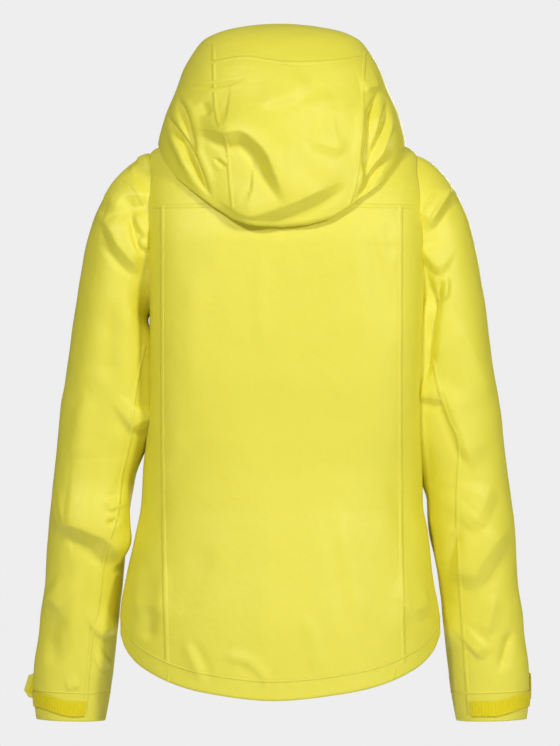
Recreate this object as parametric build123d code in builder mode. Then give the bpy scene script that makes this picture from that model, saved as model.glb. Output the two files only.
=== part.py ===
from build123d import *

import os
from math import atan2, cos, degrees, hypot, pi, sin

# A women's size M hooded hardshell jacket, filled out as on a standing body, zipped up, hood raised.
# Row frame: millimetres, +Z up, the wearer faces -Y, the wearer's left is +X.
# The origin is on the body's vertical axis, at the height of the centre-back neck seam.

# ---------------------------------------------------------------- driving dimensions
WALL = 2.0  # shell fabric with its lining and seam allowance
CLEAR = 0.4  # between pieces that don't touch
BACK_LENGTH = 689.0  # centre-back neck seam to the back hem
SIDE_HEM_Z = -599.0  # hem height at the sides and the front
HEM_BAND = 25.0
YOKE_SEAM_Z = -69.0
BACK_SEAM_X = 148.0  # princess seams of the back, which also bound the front panels
ACROSS_FRONT = 108.0  # body axis to the centre-front line, which is vertical
SLOT_HALF = 7.0  # half the gap that the front zip shows in
COLLAR_TOP_Z = 45.0
NECK_DROP_Z = -72.0  # centre-front neckline
CUFF_SEAM_Z = -671.0
HOOD_SEAM_X = 88.0
HOOD_HEM = 16.0

# Body rings, bottom to top: height, half width, front depth, back depth, squareness.
TORSO = [
    (-710, 204, 108, 122, 2.1),
    (-600, 201, 108, 121, 2.1),
    (-500, 187, 108, 112, 2.2),
    (-410, 174, 108, 102, 2.4),
    (-320, 169, 108, 107, 2.7),
    (-210, 172, 108, 117, 3.0),
    (-120, 176, 108, 117, 3.0),
    (-65, 178, 107, 104, 2.9),
    (-20, 176, 90, 84, 2.5),
    (0, 158, 70, 66, 2.2),
    (12, 118, 54, 54, 2.0),
    (20, 70, 40, 42, 2.0),
]
# Hood rings, bottom to top: height, half width, front depth, back depth, squareness.
HOOD = [
    (-100, 152, 112, 137, 2.2),
    (-75, 156, 113, 139.5, 2.2),
    (-50, 158, 114, 140.5, 2.2),
    (-22, 157.5, 115, 139.5, 2.2),
    (6, 155, 116, 137, 2.2),
    (39, 147, 119, 128, 2.2),
    (73, 133, 123, 112, 2.2),
    (99, 123, 125, 98, 2.2),
    (123, 109, 123, 80, 2.2),
    (137, 97, 116, 64, 2.1),
    (145, 82, 108, 50, 2.0),
    (150, 64, 98, 38, 2.0),
    (154, 44, 84, 24, 2.0),
    (157, 22, 62, 8, 2.0),
    (157.7, 12, 48, 5, 2.0),
]
HOOD_FRONT_POWER = 1.6  # the face side of a hood ring is pointed
# Sleeve rings, armhole to cuff: body-side x, z, outer x, z, ring centre y, half depth.
SLEEVE = [
    (150, -204.5, 150, -4.5, 0, 66),
    (165, -204.5, 165, -4.5, 0, 66),
    (177, -205.5, 201, -29, 0, 67),
    (180, -213, 233, -81, -1, 68),
    (181, -226, 249, -141, -2, 70),
    (180, -250, 263, -225, -4, 70),
    (179, -345, 280, -338, -10, 64),
    (190, -470, 291, -462, -18, 58),
    (201, -582, 302, -575, -27, 52),
    (212, -655, 311, -650, -33, 46),
    (219, -714, 311, -708, -37, 42),
]
HEAD_RINGS = 5  # the first rings, which the sleeve head covers
SLEEVE_SEAM_TOP = (171, -245)  # x, z of the back sleeve seam under the arm
SLEEVE_SEAM_CUFF = (242, -690)

NECK = (70.0, 86.0, -26.0)  # neck opening: half width, half depth, centre y
COLLAR = (69.5, 82.5, -25.5)  # collar's outer face
LINING = 0.8

BIG = 900.0
OUT = "parts"
os.makedirs(OUT, exist_ok=True)


def save(shape, name):
    """Labels one finished piece and writes its STEP file."""
    shape.label = name
    export_step(shape, f"{OUT}/{name}.step")
    print(f"{name:24s} solids {len(shape.solids())}  volume {shape.volume / 1000:8.2f} cm3", flush=True)


# ---------------------------------------------------------------- closed forms
def ring_points(half_width, front, back, power, front_power, count=20):
    """Points of a closed ring: a rounded rectangle with its own depth and squareness front and back."""
    points = []
    for i in range(count):
        turn = 2 * pi * i / count
        c, s = cos(turn), sin(turn)
        p = power if s >= 0 else front_power
        depth = back if s >= 0 else front
        x = half_width * abs(c) ** (2 / p) * (1 if c >= 0 else -1)
        y = depth * abs(s) ** (2 / p) * (1 if s >= 0 else -1)
        points.append((x, y))
    return points


def ring_solid(rows, grow, dome_from, front_power=None):
    """A filled body through the rings, grown by grow; rings above dome_from also rise by it."""
    with BuildPart() as form:
        for z, half_width, front, back, power in rows:
            lift = grow if z > dome_from else 0
            with BuildSketch(Plane.XY.offset(z + lift)):
                with BuildLine():
                    Spline(
                        ring_points(
                            half_width + grow, front + grow, back + grow, power, front_power or power
                        ),
                        periodic=True,
                    )
                make_face()
        loft()
    return form.part


def torso_solid(grow):
    return ring_solid(TORSO, grow, dome_from=-30)


def hood_solid(grow):
    return ring_solid(HOOD, grow, dome_from=110, front_power=HOOD_FRONT_POWER)


def sleeve_solid(rings, grow):
    """A filled length of the left sleeve through the rings."""
    with BuildPart() as form:
        for inner_x, inner_z, outer_x, outer_z, centre_y, half_depth in rings:
            across = Vector(outer_x - inner_x, 0, outer_z - inner_z)
            middle = ((inner_x + outer_x) / 2, centre_y, (inner_z + outer_z) / 2)
            station = Plane(origin=middle, x_dir=across, z_dir=across.cross(Vector(0, 1, 0)))
            with BuildSketch(station):
                with BuildLine():
                    depth = half_depth + grow
                    Spline(ring_points(across.length / 2 + grow, depth, depth, 2, 2, 16), periodic=True)
                make_face()
        loft()
    return form.part


def box_part(x_range, y_range, z_range):
    """A box between two corners."""
    with BuildPart(mode=Mode.PRIVATE) as block:
        with Locations(
            (sum(x_range) / 2, sum(y_range) / 2, sum(z_range) / 2),
        ):
            Box(x_range[1] - x_range[0], y_range[1] - y_range[0], z_range[1] - z_range[0])
    return block.part


def profile_block(outline):
    """A block along X with the given outline in Y and Z."""
    with BuildPart(mode=Mode.PRIVATE) as block:
        with BuildSketch(Plane.YZ):
            with BuildLine():
                Polyline(outline, close=True)
            make_face()
        extrude(amount=BIG, both=True)
    return block.part


def oval_column(oval, bottom, top, grow=0.0):
    """A vertical column on an oval: half width, half depth, centre y."""
    half_width, half_depth, centre_y = oval
    with BuildPart(mode=Mode.PRIVATE) as column:
        with BuildSketch(Plane.XY.offset(bottom)):
            with Locations((0, centre_y)):
                Ellipse(half_width + grow, half_depth + grow)
        extrude(amount=top - bottom)
    return column.part


def armhole(grow):
    """A column along X on the sleeve's first ring, on the wearer's left."""
    inner_x, low, _, high, centre_y, half_depth = SLEEVE[0]
    with BuildPart(mode=Mode.PRIVATE) as column:
        with BuildSketch(Plane.YZ.offset(inner_x - 30)):
            with Locations((centre_y, (low + high) / 2)):
                Ellipse(half_depth + grow, (high - low) / 2 + grow)
        extrude(amount=100)
    return column.part


def cut(shape, *tools):
    with BuildPart(mode=Mode.PRIVATE) as result:
        add(shape)
        for tool in tools:
            add(tool, mode=Mode.SUBTRACT)
    return result.part


def keep_in(shape, *tools):
    with BuildPart(mode=Mode.PRIVATE) as result:
        add(shape)
        for tool in tools:
            add(tool, mode=Mode.INTERSECT)
    return result.part


def both_sides(part, name):
    """Writes a left piece and its mirror image on the right."""
    save(part, f"{name}_left")
    with BuildPart() as other:
        add(mirror(part, about=Plane.YZ, mode=Mode.PRIVATE))
    save(other.part, f"{name}_right")


# ---------------------------------------------------------------- shell of the body
def below_hem(rise):
    """The space under the hem line: level in front and at the sides, dropping to the back."""
    deepest = -BACK_LENGTH + rise
    side = SIDE_HEM_Z + rise
    back = TORSO[1][3]
    fall = (deepest - side) / back
    return profile_block([(-400, side), (0, side), (400, side + 400 * fall), (400, -1400), (-400, -1400)])


torso_outer = torso_solid(0)
torso_inner = torso_solid(-WALL)
left_armhole = armhole(2.0)
neck_hole = oval_column(NECK, NECK_DROP_Z, 60)

torso_shell = cut(
    torso_outer,
    torso_inner,
    left_armhole,
    mirror(left_armhole, about=Plane.YZ),
    neck_hole,
    below_hem(0),
    box_part((-SLOT_HALF, SLOT_HALF), (-200, 0), (-BIG, 100)),
)

save(keep_in(torso_shell, below_hem(HEM_BAND)), "hem_band")
body_shell = cut(torso_shell, below_hem(HEM_BAND))
save(keep_in(body_shell, box_part((-BIG, BIG), (-BIG, BIG), (YOKE_SEAM_Z, BIG))), "shoulder_yoke")
lower_shell = keep_in(body_shell, box_part((-BIG, BIG), (-BIG, BIG), (-BIG, YOKE_SEAM_Z)))
middle = (-BACK_SEAM_X, BACK_SEAM_X)
save(keep_in(lower_shell, box_part(middle, (0, BIG), (-BIG, BIG))), "back_panel")
both_sides(keep_in(lower_shell, box_part((BACK_SEAM_X, BIG), (-BIG, BIG), (-BIG, BIG))), "side_panel")


# ---------------------------------------------------------------- zips
# A zip's own frame: its line along Z, y = 0 the fabric's outer face and -Y outwards.
TAPE_Y = (2.8, 3.6)
TEETH_Y = (1.9, 4.5)


def zip_tape(length, outer_x):
    """The tape of the +X side."""
    with BuildPart() as tape:
        add(box_part((3.4, outer_x), TAPE_Y, (-length / 2, length / 2)))
    return tape.part


def zip_teeth(length, pitch=4.0):
    """The row of moulded teeth on the +X side: a comb whose teeth point to the middle."""
    root, tip, spine, tooth = 2.4, 0.5, 3.4, pitch * 0.55
    start = -length / 2
    outline = [(spine, start), (root, start)]
    for i in range(int(length / pitch)):
        low = start + pitch * i + (pitch - tooth) / 2
        outline += [(root, low), (tip, low + 0.3), (tip, low + tooth - 0.3), (root, low + tooth)]
    outline += [(root, -start), (spine, -start)]
    with BuildPart() as comb:
        with BuildSketch(Plane.XZ.offset(-TEETH_Y[1])):
            with BuildLine():
                Polyline(outline, close=True)
            make_face()
        extrude(amount=TEETH_Y[1] - TEETH_Y[0])
    return comb.part


def zip_slider(length=13.0):
    """Front and back plates round the chain, joined by a thin divider, with an arched bail on the front."""
    half = 5.2
    with BuildPart() as slider:
        add(box_part((-half, half), (0.0, 1.5), (-length / 2, length / 2)))
        add(box_part((-half, half), (4.9, 6.2), (-length / 2, length / 2)))
        for side in (-1, 1):
            edge = sorted((side * 4.0, side * half))
            add(box_part(edge, (1.4, 2.4), (-length / 2, length / 2)))
            add(box_part(edge, (4.0, 5.0), (-length / 2, length / 2)))
        add(box_part((-0.3, 0.3), (1.4, 5.0), (length / 2 - 4, length / 2)))
        with BuildSketch(Plane.YZ):
            with BuildLine():
                Polyline(
                    (0.1, 4.6), (-2.0, 4.6), (-3.4, 3.2), (-3.4, -3.2), (-2.0, -4.6), (0.1, -4.6), close=True
                )
            make_face()
            with Locations((-1.05, 0)):
                Rectangle(2.3, 6.2, mode=Mode.SUBTRACT)
        extrude(amount=1.2, both=True)
    return slider.part


PIVOT_Y = -1.1  # pull's axis, under the bail's arch


def zip_pull(length, tab_back=0.7):
    """A hanging pull: cross bar under the bail, two arms and a flat tab that reaches tab_back behind them."""
    with BuildPart() as pull:
        with BuildSketch(Plane.YZ.offset(-3.0)):
            with Locations((PIVOT_Y, 0)):
                Circle(0.75)
        extrude(amount=6.0)
        for side in (-1, 1):
            arm = sorted((side * 1.7, side * 3.0))
            add(box_part(arm, (PIVOT_Y - 0.7, PIVOT_Y + 0.7), (-7.5, 0.7)))
        add(box_part((-3.6, 3.6), (PIVOT_Y - 0.7, PIVOT_Y + tab_back), (-length, -7.0)))
        fillet(pull.edges().filter_by(Axis.Y).group_by(Axis.Z)[0], 1.5)
    return pull.part


def pull_grip(length, pull):
    """The moulded grip over the tab's lower end."""
    with BuildPart() as grip:
        with BuildSketch(Plane.XY.offset(-length + 9)):
            with Locations((0, PIVOT_Y)):
                RectangleRounded(9.6, 3.0, 1.2)
        with BuildSketch(Plane.XY.offset(-length - 16)):
            with Locations((0, PIVOT_Y)):
                RectangleRounded(7.2, 2.8, 1.2)
        loft()
        add(pull, mode=Mode.SUBTRACT)
    return grip.part


# Centre-front zip, from the hem to the top of the collar.
ZIP_BOTTOM = SIDE_HEM_Z + 4
ZIP_TOP = COLLAR_TOP_Z - 4
zip_length = ZIP_TOP - ZIP_BOTTOM
zip_middle = Location((0, -ACROSS_FRONT, (ZIP_TOP + ZIP_BOTTOM) / 2))
SLIDER_REST_Z = ZIP_TOP - 12
collar_room = box_part((11.5, 30), (-BIG, 0), (NECK_DROP_Z - 2, BIG))  # the tape narrows behind the collar
both_sides(cut(zip_tape(zip_length, 22).moved(zip_middle), collar_room), "zip_tape")
both_sides(zip_teeth(zip_length).moved(zip_middle), "zip_teeth")

at_slider = Location((0, -ACROSS_FRONT, SLIDER_REST_Z))
front_pull = zip_pull(27)
save(zip_slider().moved(at_slider), "zip_slider")
save(front_pull.moved(at_slider), "zip_pull")
save(pull_grip(27, front_pull).moved(at_slider), "zip_pull_grip")

with BuildPart() as zip_stops:
    for side in (-1, 1):
        stop = sorted((side * 0.5, side * 3.9))
        add(box_part(stop, TEETH_Y, (zip_length / 2 + 0.2, zip_length / 2 + 3.2)))
save(zip_stops.part.moved(zip_middle), "zip_top_stops")

with BuildPart() as retainer_box:
    add(box_part((-6.0, 0.0), (1.4, 5.0), (-zip_length / 2 - 9, -zip_length / 2 - 0.3)))
    fillet(retainer_box.edges().filter_by(Axis.Z), 0.6)
save(retainer_box.part.moved(zip_middle), "zip_retainer_box")
with BuildPart() as insertion_pin:
    with BuildSketch(Plane.XY.offset(-zip_length / 2 - 9)):
        with Locations((1.7, 3.2)):
            Circle(1.1)
    extrude(amount=8.7)
save(insertion_pin.part.moved(zip_middle), "zip_insertion_pin")

# The wind flap behind the zip, and the chin guard folded over its top.
flap_top = COLLAR_TOP_Z - 6
with BuildPart() as wind_flap:
    with BuildSketch(Plane.XY.offset(SIDE_HEM_Z + 30)):
        with Locations((6, -ACROSS_FRONT + 10)):
            RectangleRounded(46, 1.4, 0.6)
    extrude(amount=flap_top - SIDE_HEM_Z - 30)
save(wind_flap.part, "wind_flap")

with BuildPart() as chin_guard:
    with BuildSketch(Plane.XZ.offset(ACROSS_FRONT - 8.2)):
        with Locations((0, COLLAR_TOP_Z - 12)):
            RectangleRounded(34, 30, 6)
    extrude(amount=1.2)
save(chin_guard.part, "chin_guard")


# ---------------------------------------------------------------- front panels and hand pockets
def surface_y(x, z):
    """The front face's y at x and z, by the rings' formula between the two rings around z."""
    for low, high in zip(TORSO, TORSO[1:]):
        if low[0] <= z <= high[0]:
            share = (z - low[0]) / (high[0] - low[0])
            half_width, front, power = (low[i] + share * (high[i] - low[i]) for i in (1, 2, 4))
            return -front * (1 - (abs(x) / half_width) ** power) ** (1 / power)
    raise ValueError("z is outside the body")


POCKET_TOP = (104.0, -372.0)
POCKET_BOTTOM = (127.0, -532.0)


def pocket_plane():
    """The left hand-pocket zip's frame: z along its line, y into the body."""
    top = Vector(POCKET_TOP[0], surface_y(*POCKET_TOP), POCKET_TOP[1])
    bottom = Vector(POCKET_BOTTOM[0], surface_y(*POCKET_BOTTOM), POCKET_BOTTOM[1])
    middle = (top + bottom) * 0.5
    step = 4.0
    slope = (surface_y(middle.X + step, middle.Z) - surface_y(middle.X - step, middle.Z)) / (2 * step)
    along = (top - bottom).normalized()
    across = Vector(1, slope, 0)
    across = (across - along * across.dot(along)).normalized()
    face = Vector(middle.X, surface_y(middle.X, middle.Z), middle.Z)
    return Plane(origin=face, x_dir=across, z_dir=along), (top - bottom).length


at_pocket, pocket_length = pocket_plane()
pocket_place = at_pocket.location
pocket_slot = box_part((-6.4, 6.4), (-12, 14), (-pocket_length / 2, pocket_length / 2)).moved(pocket_place)

front_left = cut(
    keep_in(lower_shell, box_part((0, BACK_SEAM_X), (-BIG, 0), (-BIG, BIG))),
    pocket_slot,
)
both_sides(front_left, "front_panel")
POCKET_TAPE = 9.5
both_sides(zip_tape(pocket_length - 4, POCKET_TAPE).moved(pocket_place), "pocket_tape_outer")
inner_tape = mirror(zip_tape(pocket_length - 4, POCKET_TAPE), about=Plane.YZ)
both_sides(inner_tape.moved(pocket_place), "pocket_tape_inner")
left_teeth = zip_teeth(pocket_length - 4)
with BuildPart() as pocket_teeth:
    add(left_teeth)
    add(mirror(left_teeth, about=Plane.YZ, mode=Mode.PRIVATE))
both_sides(pocket_teeth.part.moved(pocket_place), "pocket_teeth")
pocket_rest = Location((0, 0, pocket_length / 2 - 10))
both_sides(zip_slider(11.0).moved(pocket_rest).moved(pocket_place), "pocket_slider")
both_sides(zip_pull(22, tab_back=-0.1).moved(pocket_rest).moved(pocket_place), "pocket_pull")

# Pocket bags: flat pouches that follow the inside of the front panels.
bag_outer = torso_solid(-WALL - 6.5)
bag_inner = torso_solid(-WALL - 9.5)
bag = keep_in(cut(bag_outer, bag_inner), box_part((36, 142), (-BIG, -20), (-556, -360)))
both_sides(bag, "pocket_bag")

# ---------------------------------------------------------------- sleeves
sleeve_head, sleeve_arm = SLEEVE[: HEAD_RINGS], SLEEVE[HEAD_RINGS - 1 :]
both_sides(cut(sleeve_solid(sleeve_head, 0), sleeve_solid(sleeve_head, -WALL)), "sleeve_head")
left_sleeve = cut(sleeve_solid(sleeve_arm, 0), sleeve_solid(sleeve_arm, -WALL))
cuff_region = box_part((200, BIG), (-BIG, BIG), (-BIG, CUFF_SEAM_Z))
both_sides(keep_in(left_sleeve, cuff_region), "cuff_band")
arm = cut(left_sleeve, cuff_region)
run = (SLEEVE_SEAM_CUFF[0] - SLEEVE_SEAM_TOP[0]) / (SLEEVE_SEAM_CUFF[1] - SLEEVE_SEAM_TOP[1])


def seam_x(z):
    return SLEEVE_SEAM_TOP[0] + run * (z - SLEEVE_SEAM_TOP[1])


with BuildPart(mode=Mode.PRIVATE) as under_region:
    with BuildSketch(Plane.XZ):
        with BuildLine():
            Polyline(
                (seam_x(-190), -190), (seam_x(-800), -800), (0, -800), (0, -190), close=True
            )
        make_face()
    extrude(amount=BIG, both=True)
both_sides(cut(arm, under_region.part), "sleeve_outer")
both_sides(keep_in(arm, under_region.part), "sleeve_under")

# Cuff strap: a loop strip round the back and outside, and a tab with a hook patch.
LOOP_Z = (-704, -678)
loop_skin = cut(sleeve_solid(sleeve_arm, 1.0), sleeve_solid(sleeve_arm, 0))
loop_back = box_part((244, BIG), (-37, BIG), LOOP_Z)
loop_side = box_part((288, BIG), (-BIG, -37), LOOP_Z)
with BuildPart(mode=Mode.PRIVATE) as loop_region:
    add(loop_back)
    add(loop_side)
both_sides(keep_in(loop_skin, loop_region.part), "cuff_loop_strip")

TAB_Z = (-706, -672)
TAB_HINGE = (258.0, -80.6)  # x, y of the stitched end
TAB_LENGTH = 66.0
with BuildPart() as cuff_tab:
    with BuildSketch(Plane.XZ.offset(-TAB_HINGE[1])):
        with BuildLine():
            low, high = TAB_Z
            end = TAB_HINGE[0] + TAB_LENGTH
            Polyline(
                (TAB_HINGE[0], low),
                (end - 8, low + 2),
                (end, low + 8),
                (end, high - 8),
                (end - 8, high - 2),
                (TAB_HINGE[0], high),
                close=True,
            )
        make_face()
    extrude(amount=1.5)
both_sides(cuff_tab.part, "cuff_tab")
with BuildPart() as hook_patch:
    with BuildSketch(Plane.XZ.offset(-TAB_HINGE[1])):
        with Locations((TAB_HINGE[0] + TAB_LENGTH - 18, sum(TAB_Z) / 2)):
            RectangleRounded(26, 22, 3)
    extrude(amount=-1.1)
both_sides(hook_patch.part, "cuff_hook_patch")

# ---------------------------------------------------------------- collar
front_slot = box_part((-SLOT_HALF, SLOT_HALF), (-200, 0), (-BIG, 200))
low_front, low_back = (-COLLAR[1] + COLLAR[2], NECK_DROP_Z + 0.5), (COLLAR[1] + COLLAR[2], 6)
fall = (low_back[1] - low_front[1]) / (low_back[0] - low_front[0])
under_collar = profile_block(
    [
        (low_front[0] - 100, low_front[1] - 100 * fall),
        (low_back[0] + 100, low_back[1] + 100 * fall),
        (low_back[0] + 100, -400),
        (low_front[0] - 100, -400),
    ]
)
save(
    cut(
        oval_column(COLLAR, -100, COLLAR_TOP_Z),
        oval_column(COLLAR, -101, COLLAR_TOP_Z + 1, grow=-1.2),
        under_collar,
        front_slot,
    ),
    "collar_shell",
)
lining_slot = box_part((-26, 34), (-200, 0), (-BIG, 200))
save(
    cut(
        oval_column(COLLAR, -100, COLLAR_TOP_Z - 1.5, grow=-1.2),
        oval_column(COLLAR, -101, COLLAR_TOP_Z + 1, grow=-1.2 - LINING),
        under_collar,
        lining_slot,
    ),
    "collar_lining",
)

collar_back = COLLAR[1] + COLLAR[2] - 1.4 - LINING  # inside face of the lining at the back
LOOP_HALF = 24.0
LOOP_ENDS = collar_back - 7.8
LOOP_MIDDLE = collar_back - 12.0
with BuildPart() as hanger_loop:
    with BuildSketch(Plane.XY.offset(8)):
        with BuildLine():
            middle_arc = ThreePointArc((-LOOP_HALF, LOOP_ENDS), (0, LOOP_MIDDLE), (LOOP_HALF, LOOP_ENDS))
            offset(middle_arc, amount=1.4, side=Side.BOTH, kind=Kind.ARC)
        make_face()
    extrude(amount=7)
save(hanger_loop.part, "hanger_loop")

with BuildPart() as neck_patch:
    with BuildSketch(Plane.XZ.offset(-(collar_back - 3.7))):
        with Locations((0, 30)):
            RectangleRounded(38, 20, 2)
    extrude(amount=0.8)
save(neck_patch.part, "neck_patch")


# ---------------------------------------------------------------- hood
# The hood's lower edge: level at the sides, falling over the yoke at the back.
HOOD_LOW_SIDE = (40.0, 6.0)
HOOD_LOW_BACK = (138.0, -91.0)


def below_hood():
    (side_y, side_z), (back_y, back_z) = HOOD_LOW_SIDE, HOOD_LOW_BACK
    fall = (back_z - side_z) / (back_y - side_y)
    return profile_block(
        [(-400, -60), (-60, -60), (side_y - 10, side_z), (side_y, side_z), (400, side_z + fall * (400 - side_y)),
         (400, -900), (-400, -900)]
    )


FACE_FOOT = (-84.0, 6.0)  # y, z where the face opening meets the hood's underside
FACE_BROW = (-112.0, 150.0)


def before_face(back_by):
    """The space in front of the face opening's plane, moved back by back_by."""
    (foot_y, foot_z), (brow_y, brow_z) = FACE_FOOT, FACE_BROW
    lean = (brow_y - foot_y) / (brow_z - foot_z)
    low, high = -300, 400
    low_y = foot_y + lean * (low - foot_z) + back_by
    high_y = foot_y + lean * (high - foot_z) + back_by
    return profile_block([(-600, low), (low_y, low), (high_y, high), (-600, high)])


hood_shell = cut(hood_solid(0), hood_solid(-WALL), below_hood(), before_face(0), torso_outer)
face_hem = keep_in(hood_shell, before_face(HOOD_HEM))
crown = cut(hood_shell, before_face(HOOD_HEM))
hood_middle = (-HOOD_SEAM_X, HOOD_SEAM_X)
brow_z = 80
brow_space = box_part((-BIG, BIG), (-BIG, 0), (brow_z, BIG))
save(keep_in(face_hem, brow_space), "hood_brim")
both_sides(cut(keep_in(face_hem, box_part((0, BIG), (-BIG, BIG), (-BIG, BIG))), brow_space), "hood_face_hem")
save(keep_in(crown, box_part(hood_middle, (-BIG, BIG), (-BIG, BIG))), "hood_center_panel")
both_sides(keep_in(crown, box_part((HOOD_SEAM_X, BIG), (-BIG, BIG), (-BIG, BIG))), "hood_side_panel")
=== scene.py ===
"""A yellow hooded hardshell jacket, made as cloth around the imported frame; in millimetres until mesh_from."""

import math

import bmesh
import bpy
import numpy as np
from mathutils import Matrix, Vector
from mathutils.kdtree import KDTree


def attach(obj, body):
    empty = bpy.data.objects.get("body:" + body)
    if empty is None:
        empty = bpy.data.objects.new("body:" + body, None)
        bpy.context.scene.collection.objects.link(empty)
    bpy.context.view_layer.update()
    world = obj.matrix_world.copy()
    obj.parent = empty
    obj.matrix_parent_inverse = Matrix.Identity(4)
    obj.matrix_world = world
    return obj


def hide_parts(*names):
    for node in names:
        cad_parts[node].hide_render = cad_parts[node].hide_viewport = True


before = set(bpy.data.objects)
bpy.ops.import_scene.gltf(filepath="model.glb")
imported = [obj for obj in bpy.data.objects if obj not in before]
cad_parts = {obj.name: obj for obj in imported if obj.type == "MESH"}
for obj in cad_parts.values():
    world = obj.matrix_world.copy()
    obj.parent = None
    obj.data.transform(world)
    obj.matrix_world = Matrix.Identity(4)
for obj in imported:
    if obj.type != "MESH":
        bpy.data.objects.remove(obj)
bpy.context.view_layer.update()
scene = bpy.context.scene
MM = 0.001
LEFT, RIGHT = 1, -1  # the wearer's left is +X
BACK, FRONT = 1, -1  # the back is +Y
SIDES = {LEFT: "left", RIGHT: "right"}
EYE_Y, EYE_Z = 6000.0, -278.75  # the camera's distance and height
CLOTH, CLEAR = 0.9, 60.0  # cloth thickness; a field's value where it cuts nothing


# ---- curves and tables
def smooth_table(at, xs, ys):
    """Monotone cubic interpolation of ys over ascending xs."""
    xs, ys, at = np.asarray(xs, float), np.asarray(ys, float), np.asarray(at, float)
    h = np.diff(xs)
    d = np.diff(ys) / h
    m = np.zeros(len(xs))
    m[0], m[-1] = d[0], d[-1]
    w1, w2 = 2 * h[1:] + h[:-1], h[1:] + 2 * h[:-1]
    with np.errstate(divide="ignore", invalid="ignore"):
        mean = (w1 + w2) / (w1 / d[:-1] + w2 / d[1:])
    m[1:-1] = np.where(d[:-1] * d[1:] > 0, mean, 0.0)
    at = np.clip(at, xs[0], xs[-1])
    i = np.clip(np.searchsorted(xs, at) - 1, 0, len(xs) - 2)
    t = (at - xs[i]) / h[i]
    start = (1 + 2 * t) * (1 - t) ** 2 * ys[i] + t * (1 - t) ** 2 * h[i] * m[i]
    return start + t * t * (3 - 2 * t) * ys[i + 1] + t * t * (t - 1) * h[i] * m[i + 1]


def read(table, z, *columns):
    """Columns of a table at height z; its first column is the height."""
    return [smooth_table(z, table[:, 0], table[:, k]) for k in columns]


def smoothstep(x, lo, hi):
    t = np.clip((np.asarray(x, float) - lo) / (hi - lo), 0, 1)
    return t * t * (3 - 2 * t)


def signed_power(a, power):
    return np.sign(a) * np.abs(a) ** power


def ring(turn, z, left, right, front, back, power):
    """Points of a ring that a power below 1 squares off; turn is 0 at the left, pi / 2 at the back."""
    c, s = np.cos(turn), np.sin(turn)
    x = np.where(c >= 0, left, right) * signed_power(c, power)
    return np.stack([x, np.where(s >= 0, back, front) * signed_power(s, power), z * np.ones_like(x)], -1)


def rows_up(low, top, count, share, rise):
    """Heights (v, u) from low to top, with a share rise of the climb done at each share of the rows."""
    climb = smooth_table(np.linspace(0, 1, count), share, rise)
    return low[None, :] + (top - low[None, :]) * climb[:, None]


def unit(a):
    return a / np.maximum(np.linalg.norm(a, axis=-1, keepdims=True), 1e-9)


def run_of(points):
    """Distance of each point along the line."""
    return np.concatenate([[0], np.cumsum(np.linalg.norm(np.diff(points, axis=0), axis=1))])


def spread(at, run, rows):
    """The rows that lie at distances run, read at distances at."""
    return np.stack([np.interp(at, run, column) for column in rows.T], -1)


def soften(rows):
    rows[1:-1] = 0.25 * rows[:-2] + 0.5 * rows[1:-1] + 0.25 * rows[2:]


def curve(points, step=4.0):
    """Even points along a smooth line through the given points (Catmull-Rom)."""
    p = np.asarray(points, float)
    if len(p) < 3:
        n = max(2, int(np.linalg.norm(p[-1] - p[0]) / step) + 1)
        return p[0] + (p[-1] - p[0]) * np.linspace(0, 1, n)[:, None]
    q = np.vstack([2 * p[0] - p[1], p, 2 * p[-1] - p[-2]])
    fine = []
    for i in range(1, len(q) - 2):
        a, b, c, d = q[i - 1 : i + 3]
        for t in np.linspace(0, 1, 12, endpoint=False):
            square, cube = (2 * a - 5 * b + 4 * c - d) * t**2, (3 * b - a - 3 * c + d) * t**3
            fine.append(0.5 * (2 * b + (c - a) * t + square + cube))
    fine = np.array(fine + [p[-1]])
    run = run_of(fine)
    return spread(np.linspace(0, run[-1], max(2, int(run[-1] / step) + 1)), run, fine)


def noise(p, scale, seed):
    """Smooth value noise of points p (n, 3), about -1 to 1, from a seeded lattice."""
    q = p / scale
    base = np.floor(q).astype(np.int64)
    f = q - base
    f = f * f * (3 - 2 * f)

    def lattice(i):
        h = i[:, 0] * 374761393 + i[:, 1] * 668265263 + i[:, 2] * 2147483647 + seed * 974634777
        h &= 0x7FFFFFFF
        h = ((h ^ (h >> 13)) * 1274126177) & 0x7FFFFFFF
        return (h & 0xFFFF) / 32767.5 - 1.0

    total = np.zeros(len(p))
    for corner in range(8):
        o = np.array([(corner >> k) & 1 for k in range(3)])
        total += np.prod(np.where(o, f, 1 - f), axis=1) * lattice(base + o)
    return total


# ---- folds
FOLD_STEP, FOLD_REACH, FOLD_TAPER = 6.0, 4, 0.3


def folds(**kinds):
    """Folds of each kind, from rows of height, width, and then x and z of each point."""
    rows = [(kind, *row) for kind, rows in kinds.items() for row in rows]
    return [(kind, high, wide, np.reshape(xz, (-1, 2))) for kind, high, wide, *xz in rows]


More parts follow.
